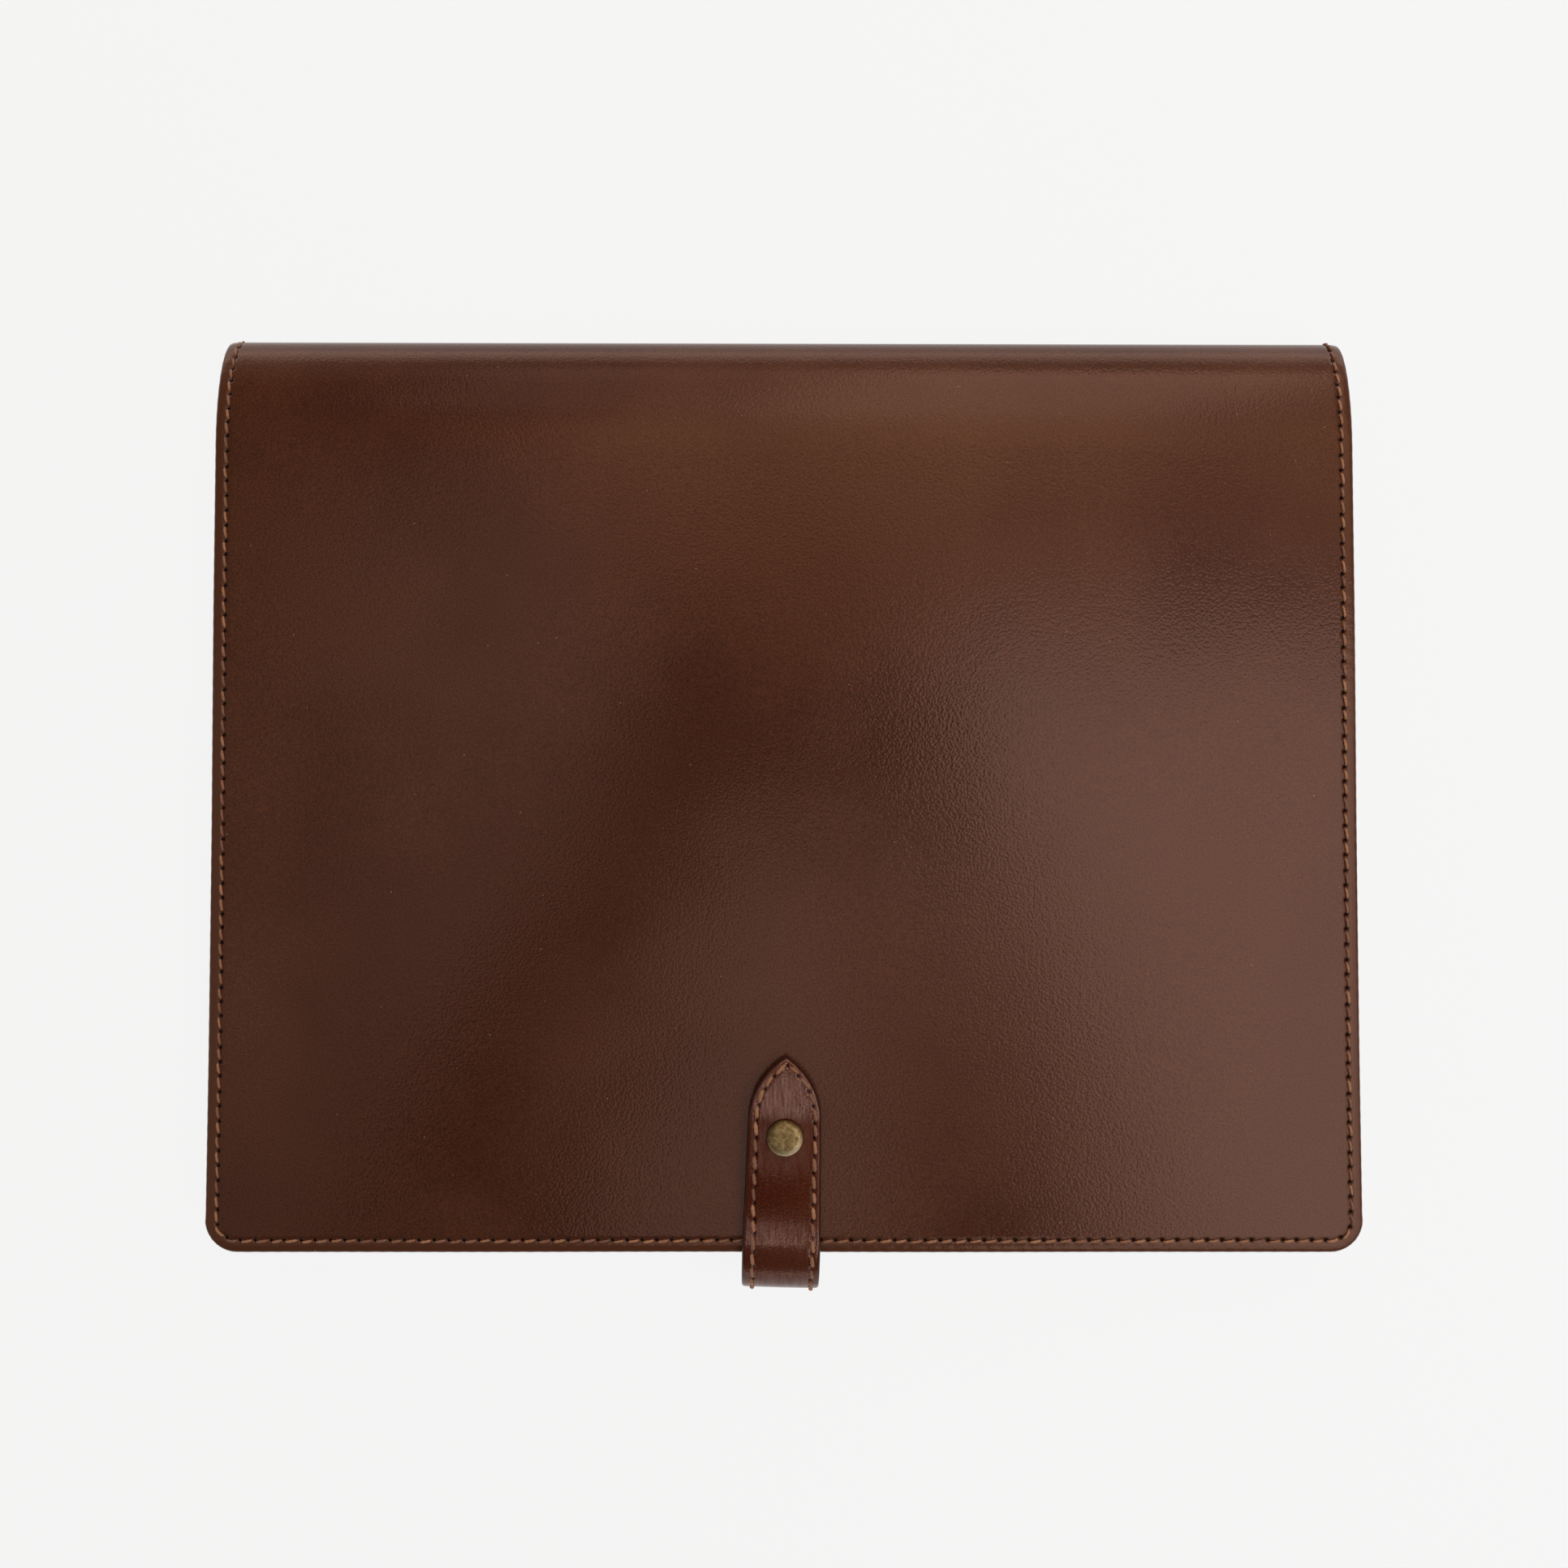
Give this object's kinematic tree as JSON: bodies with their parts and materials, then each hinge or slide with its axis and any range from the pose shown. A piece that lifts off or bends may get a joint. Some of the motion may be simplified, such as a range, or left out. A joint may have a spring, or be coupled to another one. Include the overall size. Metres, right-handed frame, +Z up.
{
  "type": "leather document portfolio",
  "caption": "Landscape leather portfolio lying closed on its back: full flap over a rounded fold, gusseted document pocket, and a pointed strap with a snap.",
  "frame": {"origin": "on the floor under the middle of the whole outline, flap and strap loop included", "axes": "+X to the right across the flap, +Y from the strap towards the fold, +Z up, out of the flap's face"},
  "size_m": [0.3502, 0.2924, 0.0343],
  "materials": {
    "cover_leather": "dark brown waxed bridle leather, semi-gloss",
    "pocket_leather": "dark brown lining-weight leather, matt",
    "strap_leather": "red-brown oiled leather, glossy",
    "snap_brass": "antiqued brass, satin"
  },
  "bodies": {
    "root": {"cover": "cover_leather", "gusset": "pocket_leather", "front_panel": "pocket_leather", "strap": "strap_leather", "snap_cap": "snap_brass", "snap_stud": "snap_brass"}
  },
  "joints": []
}
